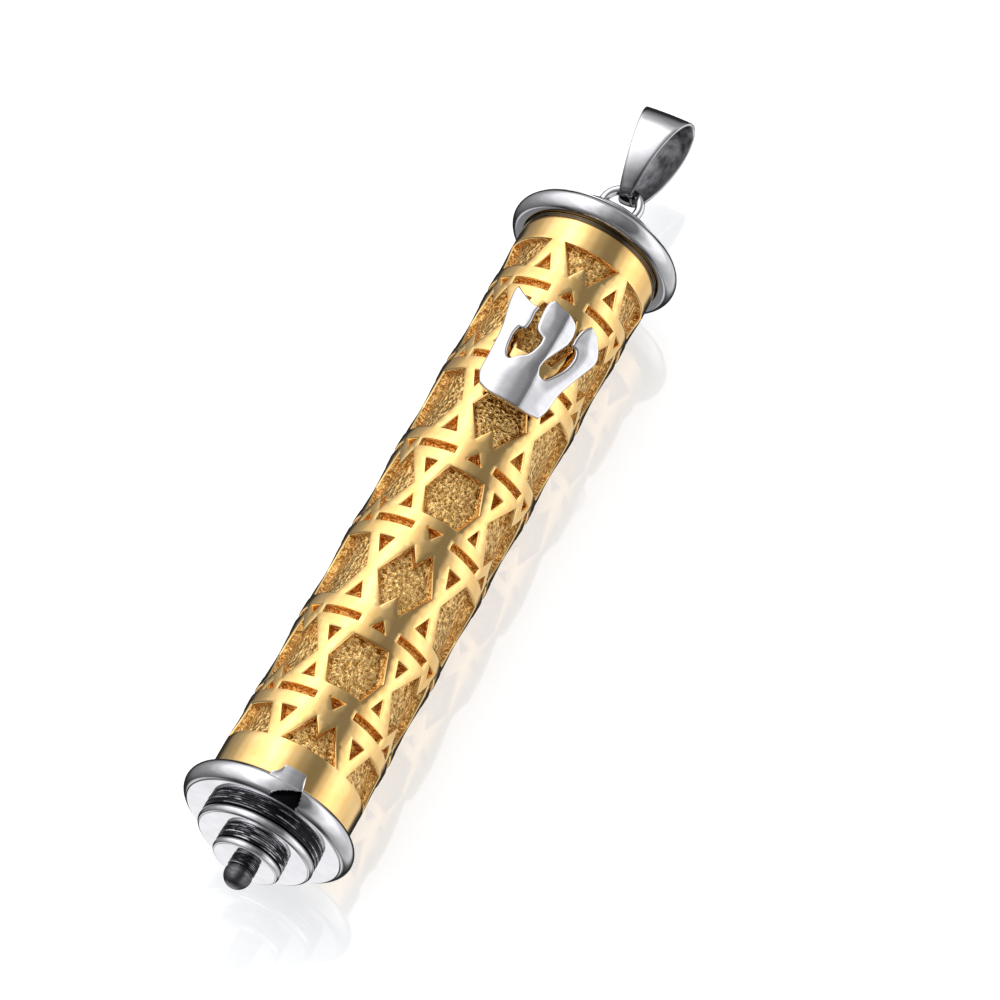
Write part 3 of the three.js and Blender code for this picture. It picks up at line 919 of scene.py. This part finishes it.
def hangRing():
    s = ringSizes
    low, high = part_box("hang_ring")
    centre = high.z - (s["centreRadius"] + s["wireRadius"]) * mm
    loops = []
    for i in range(72):
        a = tau * i / 72
        loop = []
        for j in range(20):
            b = tau * j / 20
            r, y = s["centreRadius"] + s["wireRadius"] * cos(b), s["wireRadius"] * sin(b)
            loop.append((r * mm * cos(a), y * mm, centre + r * mm * sin(a)))
        loops.append(loop)
    bm = bmesh.new()
    bm.from_mesh(skin("wire", loops, True))
    wide, tall = s["footRadius"], s["footHeight"]
    foot = [(0, 0), (wide + 0.12, 0), (wide + 0.02, 0.06), (wide - 0.05, 0.16), (0.3, tall), (0, tall + 0.05)]
    base = turned("foot", [(r, z + (low.z - capFace) / mm) for r, z in foot], 48)
    bm.from_mesh(base.data)
    bpy.data.objects.remove(base)
    bmesh.ops.rotate(bm, verts=bm.verts, matrix=Matrix.Rotation(radians(s["yaw"]), 3, "Z"))
    mesh = bpy.data.meshes.new("hangRing")
    bm.to_mesh(mesh)
    bm.free()
    return place(newPiece("hangRing", mesh), silver, "case", "silver", "hang_ring")


# A strap bent into an egg-shaped loop, wide above and narrow where it sits in the ring.
def bailLoop():
    s = {"halfDepth": 2.29, "height": 6.7, "strap": 0.28, "low": 0.8, "high": 3.24, "taper": 0.12,
         "lean": 5.7, "clearance": 0.16, "round": 0.105, "crown": 0.045, "count": 132,
         "dark": 0.8, "darkEdge": (0.05, 0.42)}
    bottom = -(ringSizes["wireRadius"] + s["clearance"] + s["strap"])
    half, c = s["strap"] / 2, s["round"]
    edge = half - s["crown"]
    yaw = Matrix.Rotation(radians(ringSizes["yaw"]), 4, "Z")
    placed = yaw @ Matrix.Rotation(radians(-s["lean"]), 4, "X")
    wire = Vector((0, 0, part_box("hang_ring")[1].z / mm - ringSizes["wireRadius"]))

    def centreLine(angle):
        up = sin(angle)
        return Vector(((s["halfDepth"] - half) * cos(angle) * (1 + s["taper"] * up),
                       bottom + s["height"] / 2 + (s["height"] / 2 - half) * up))

    points = []
    for i in range(s["count"]):
        a = tau * i / s["count"]
        here = centreLine(a)
        along = (centreLine(a + 0.01) - centreLine(a - 0.01)).normalized()
        out = Vector((along.y, -along.x))
        lift = (here.y - bottom) / s["height"]
        wide = (s["low"] + (s["high"] - s["low"]) * lift) / 2
        section = []
        for k in range(13):
            x = -wide + c + 2 * (wide - c) * k / 12
            section.append((x, half - s["crown"] * (x / wide) ** 2))
        side = [(wide - 0.3 * c, edge - 0.3 * c), (wide, edge - c), (wide, c - half),
                (wide - 0.3 * c, 0.3 * c - half)]
        section += side + [(wide - c - 2 * (wide - c) * k / 6, -half) for k in range(7)]
        section += [(-x, t) for x, t in reversed(side)]
        loop = [Vector((x, *(here + out * t))) for x, t in section]
        points.append([tuple((placed @ p + wire) * mm) for p in loop])
    mesh = skin("bailLoop", points, True)
    across = len(points[0])
    inner = [1.0 if k % across in range(17, 24) else 0.0 for k in range(len(points) * across)]
    paint(mesh, "rough", inner)
    # Painted shade: the lower part of the loop is painted dark, fading out towards the top.
    lifts = [(1 + sin(tau * (k // across) / s["count"])) / 2 for k in range(len(inner))]
    paint(mesh, "paintedShade", [s["dark"] * (1 - smoothstep(*s["darkEdge"], lift)) for lift in lifts])
    return place(newPiece("bailLoop", mesh, 32), silver, "bail", "silver", "bail")


topFlange()
topStep()
topBoss()
hangRing()
bailLoop()
print("top cap and bail ready")


# The letter on the front.

# Runs of points in [degrees round, mm above the letter's foot]. Each run is one smooth edge and starts where
# the run before it ends.
letterRuns = [
    [(-15, 0.08), (0, 0), (13, 0.08), (24, 0.34)],
    [(27, 1.1), (29, 2.5), (35, 4.1), (40.5, 5.6), (38, 6.4)],
    [(32, 7.05), (25, 7.35)],
    [(20.5, 6.8), (18.6, 6.1), (18.8, 5.5)],
    [(23, 5.4), (25, 4.9), (23.5, 4.1), (18.5, 3.2), (13, 2.55), (8.6, 2.6)],
    [(6.8, 3), (8, 3.65), (11.5, 4.4), (16.2, 5.35)],
    [(16.6, 6.05), (13.8, 6.7), (7, 6.98), (0, 7.1), (-6, 7.32)],
    [(-9.6, 6.9), (-9.4, 5.8), (-7.5, 5.1), (-1.4, 4.75)],
    [(-1.4, 4.2), (-4.5, 3.4), (-10, 3), (-14.8, 2.62), (-18.4, 3.1), (-20, 4.2), (-18.8, 4.75)],
    [(-14.5, 4.85), (-13.4, 5.4), (-14, 6), (-13.2, 6.45)],
    [(-20, 6.6), (-27, 6.95), (-34, 7.42)],
    [(-35.6, 7), (-33.6, 5.8), (-30, 4.4), (-28.6, 2.6), (-28, 1.2), (-24, 0.42)],
]
letterSizes = {"inner": 4.72, "outer": 5.12, "edgeRound": 0.13, "grid": 0.16, "smooth": 7,
               "tall": 7.6, "hollow": 0.05, "hollowReach": 0.9, "crease": 6.5, "facetTurn": 23.5,
               "facetTo": 40}


# How far the right side of the letter is planed back to a flat facet, at an angle in degrees.
def planed(degrees):
    s = letterSizes
    reach = min(max(degrees, s["crease"]), s["facetTo"])
    turn = s["facetTurn"] - s["crease"]
    flat = cos(radians(turn)) / cos(radians(reach - s["facetTurn"]))
    return max(s["outer"] * (1 - flat), 0.0)


def smoothRun(run, steps):
    out = []
    for i in range(len(run) - 1):
        p0, p1, p2, p3 = (Vector(run[min(max(k, 0), len(run) - 1)]) for k in (i - 1, i, i + 1, i + 2))
        for j in range(steps):
            t = j / steps
            v0, v1 = (p2 - p0) / 2, (p3 - p1) / 2
            bend, sway = 2 * p1 - 2 * p2 + v0 + v1, -3 * p1 + 3 * p2 - 2 * v0 - v1
            out.append(bend * t ** 3 + sway * t * t + v0 * t + p1)
    return out


def shinLetter():
    s = letterSizes
    perTurn = s["outer"] * pi / 180
    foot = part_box("shin_letter")[0].z / mm
    runs = [[before[-1]] + run for before, run in zip(letterRuns[-1:] + letterRuns, letterRuns)]
    outline = [Vector((p.x * perTurn, p.y)) for run in runs for p in smoothRun(run, s["smooth"])]
    count = len(outline)

    def depthInside(p):
        best = 1e9
        for a, b in zip(outline, outline[1:] + outline[:1]):
            ab = b - a
            t = min(max((p - a).dot(ab) / ab.length_squared, 0), 1)
            best = min(best, (p - a - ab * t).length)
        return best

    points = list(outline)
    clockwise = sum(a.x * b.y - b.x * a.y for a, b in zip(outline, outline[1:] + outline[:1])) < 0
    for share in (0.12, 0.35, 0.65, 1.0, 1.7):
        inset = s["edgeRound"] * share
        for i in range(count):
            along = (outline[(i + 1) % count] - outline[i - 1]).normalized()
            inward = Vector((-along.y, along.x)) * (-1 if clockwise else 1)
            p = outline[i] + inward * inset
            if abs(depthInside(p) - inset) < 0.15 * inset:
                points.append(p)
    lowX, highX = min(p.x for p in outline), max(p.x for p in outline)
    for i in range(int((highX - lowX) / s["grid"]) + 1):
        for j in range(int(s["tall"] / s["grid"])):
            p = Vector((lowX + i * s["grid"], j * s["grid"]))
            if depthInside(p) > s["edgeRound"] * 1.9:
                points.append(p)
    edges = [(i, (i + 1) % count) for i in range(count)]
    flat, _, tris, *_ = delaunay_2d_cdt(points, edges, [], 1, 1e-6)
    used = sorted({i for f in tris for i in f})
    index = {old: new for new, old in enumerate(used)}
    front, back = [], []
    for old in used:
        p = flat[old]
        d = depthInside(p)
        k = min(d / s["edgeRound"], 1)
        drop = s["edgeRound"] * (1 - math.sqrt(max(0.0, 1 - (1 - k) ** 2)))
        drop -= s["hollow"] * smoothstep(0, s["hollowReach"], d)
        a = p.x / s["outer"]
        drop += planed(math.degrees(a))
        for radius, group in ((s["outer"] - drop, front), (s["inner"], back)):
            group.append((radius * mm * sin(a), -radius * mm * cos(a), (foot + p.y) * mm))
    total = len(front)
    faces = [tuple(index[i] for i in f) for f in tris]
    sides = dict.fromkeys((a, b) for f in faces for a, b in zip(f, f[1:] + f[:1]))
    walls = [(b, a, a + total, b + total) for a, b in sides if (b, a) not in sides]
    faces += [tuple(i + total for i in f[::-1]) for f in faces] + walls
    mesh = meshFrom("shinLetter", front + back, faces)
    return place(newPiece("shinLetter", mesh, 50), silver, "case", "silver", "shin_letter")


shinLetter()
print("letter ready")


# The parchment and the hidden fittings.

def rolledParchment():
    s = {"turns": 6.3, "thickness": 0.14, "perTurn": 40, "bore": 1.3, "ragged": 0.05, "ripple": 5.1}
    low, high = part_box("parchment_scroll")
    half = s["thickness"] / 2
    outer, inner = high.x / mm - half, s["bore"] + half
    steps = int(s["turns"] * s["perTurn"])
    loops = []
    for i in range(steps + 1):
        t = i / steps
        a, r = tau * s["turns"] * t, inner + (outer - inner) * t
        top = high.z - abs(s["ragged"] * sin(s["ripple"] * a) * t * mm)
        section = [(r - half, low.z), (r + half, low.z), (r + half, top), (r - half, top)]
        loops.append([(q * mm * cos(a), q * mm * sin(a), z) for q, z in section])
    piece = newPiece("rolledParchment", skin("rolledParchment", loops))
    return place(piece, parchment, "scroll", "parchment", "parchment_scroll")


rolledParchment()
for node in ("thread_bush", "top_spigot", "shin_post_lower", "shin_post_upper"):
    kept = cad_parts[node]
    kept.data.materials.clear()
    kept.data.materials.append(silver)
print("parchment and fittings ready")


# Studio.

view = {"distanceBack": 331.0, "below": 189.6, "turn": (120.24, -26.13, -14.81), "lens": 231.0}


def camera():
    data = bpy.data.cameras.new("camera")
    data.lens = view["lens"]
    data.sensor_width = 36
    data.clip_start, data.clip_end = 0.01, 10
    cam = addObject("camera", data)
    cam.rotation_euler = [radians(a) for a in view["turn"]]
    cam.location = (0, -view["distanceBack"] * mm, -view["below"] * mm)
    bpy.context.scene.camera = cam


def whiteFloor():
    floor = {"turn": 12.7, "away": 5.32, "half": 400, "colour": (0.60, 0.615, 0.64), "glow": 0.58,
             "roughness": 0.05, "ior": 2.0}
    a = radians(floor["turn"])
    up = Vector((-sin(a), -cos(a), 0))
    side = Vector((cos(a), -sin(a), 0))
    foot = -up * floor["away"] * mm
    reach = floor["half"] * mm
    signs = ((-1, -1), (1, -1), (1, 1), (-1, 1))
    corners = [foot + side * reach * x + Vector((0, 0, reach * z)) for x, z in signs]
    mesh = bpy.data.meshes.new("whiteFloor")
    mesh.from_pydata(corners, [], [(0, 1, 2, 3)])
    if mesh.polygons[0].normal.dot(up) < 0:
        mesh.flip_normals()
    piece = addObject("whiteFloor", mesh)
    piece.visible_glossy = False
    material, w, shader = newMaterial("floorWhite", 0.0)
    for socket, value in (("Base Color", (*floor["colour"], 1)), ("Emission Color", (1, 1, 1, 1)),
                          ("Emission Strength", floor["glow"]), ("Roughness", floor["roughness"]),
                          ("IOR", floor["ior"])):
        shader.inputs[socket].default_value = value
    output = [n for n in w.tree.nodes if n.type == "OUTPUT_MATERIAL"][0]
    back = w.node("ShaderNodeNewGeometry").outputs["Backfacing"]
    clear = w.out("ShaderNodeBsdfTransparent")
    mix = w.out("ShaderNodeMixShader", {0: back, 1: shader.outputs[0], 2: clear})
    w.feed(output.inputs["Surface"], mix)
    mesh.materials.append(material)


# The studio, painted by direction: soft lights round the front with a dark flag between them, the
# pale table below and behind, and a dark room everywhere else.
def studioWorld():
    s = {"room": 0.03, "zenith": 0.8, "poleEdge": (0.78, 0.95), "backEdge": (84, 112),
         "sideEdge": (0.40, 0.62), "table": 1.2, "tableWay": (0.0, 0.80, -0.60), "tableEdge": (0.80, 0.93)}
    # Brightness at each bearing in degrees from the front, and at each height above the horizon.
    byBearing = [(-180, 0.08), (-148, 0.1), (-128, 0.28), (-112, 0.42), (-96, 0.78), (-80, 1.3), (-64, 1.55),
                 (-48, 2.2), (-32, 1.55), (-16, 0.75), (0, 0.34), (16, 0.2), (31, 0.2), (42, 0.7), (54, 1.25),
                 (64, 1.6), (80, 1.3), (96, 0.88), (112, 0.75), (130, 0.8), (146, 0.12), (180, 0.08)]
    byHeight = [(-90, 0.12), (-80, 0.16), (-63, 0.3), (-43, 0.6), (-23, 0.75), (-3, 0.9), (17, 1.08),
                (50, 1.08), (64, 0.74), (78, 0.44), (90, 0.3)]
    world = bpy.data.worlds.new("studio")
    bpy.context.scene.world = world
    world.use_nodes = True
    world.node_tree.nodes.clear()
    w = Wiring(world.node_tree)
    way = w.node("ShaderNodeTexCoord").outputs["Generated"]

    def soft(value, edge, low=0.0, high=1.0):
        return w.ranged(value, *edge, low, high, interpolation_type="SMOOTHSTEP")

    def follow(value, stops):
        first, span, peak = stops[0][0], stops[-1][0] - stops[0][0], max(v for _, v in stops)
        ramp = w.node("ShaderNodeValToRGB", {"Fac": w.ranged(value, first, stops[-1][0])})
        elements = ramp.color_ramp.elements
        elements.remove(elements[1])
        for k, (at, v) in enumerate(stops):
            stop = elements[0] if k == 0 else elements.new((at - first) / span)
            stop.position = (at - first) / span
            stop.color = (v / peak,) * 3 + (1,)
        ramp.color_ramp.interpolation = "EASE"
        return w.math("MULTIPLY", ramp.outputs[0], peak)

    def blend(factor, a, b):
        return w.out("ShaderNodeMix", {0: factor, 2: a, 3: b}, data_type="FLOAT")

    parts = w.node("ShaderNodeSeparateXYZ", {"Vector": way}).outputs
    front = w.math("MULTIPLY", parts["Y"], -1.0)
    bearing = w.math("DEGREES", w.math("ARCTAN2", parts["X"], front))
    height = w.math("DEGREES", w.math("ARCSINE", parts["Z"]))
    roll = w.math("ABSOLUTE", w.math("DEGREES", w.math("ARCTAN2", parts["Z"], front)))
    steep, sideways = w.math("ABSOLUTE", parts["Z"]), w.math("ABSOLUTE", parts["X"])
    around = blend(soft(steep, s["poleEdge"]), follow(bearing, byBearing), s["zenith"])
    kept = w.math("MAXIMUM", soft(roll, s["backEdge"], 1.0, 0.0), soft(sideways, s["sideEdge"]))
    lights = w.math("MULTIPLY", w.math("MULTIPLY", around, follow(height, byHeight)), kept)
    towards = w.node("ShaderNodeVectorMath", {0: way, 1: s["tableWay"]}, operation="DOT_PRODUCT")
    table = soft(towards.outputs["Value"], s["tableEdge"], 0.0, s["table"])
    light = w.math("ADD", w.math("MAXIMUM", lights, table), s["room"])
    seen = w.node("ShaderNodeLightPath").outputs["Is Camera Ray"]
    background = w.out("ShaderNodeBackground", {"Color": (1, 1, 1, 1), "Strength": blend(seen, light, 1.0)})
    w.node("ShaderNodeOutputWorld", {"Surface": background})


camera()
whiteFloor()
studioWorld()
bpy.context.scene.view_settings.view_transform = "Standard"
print("studio ready")
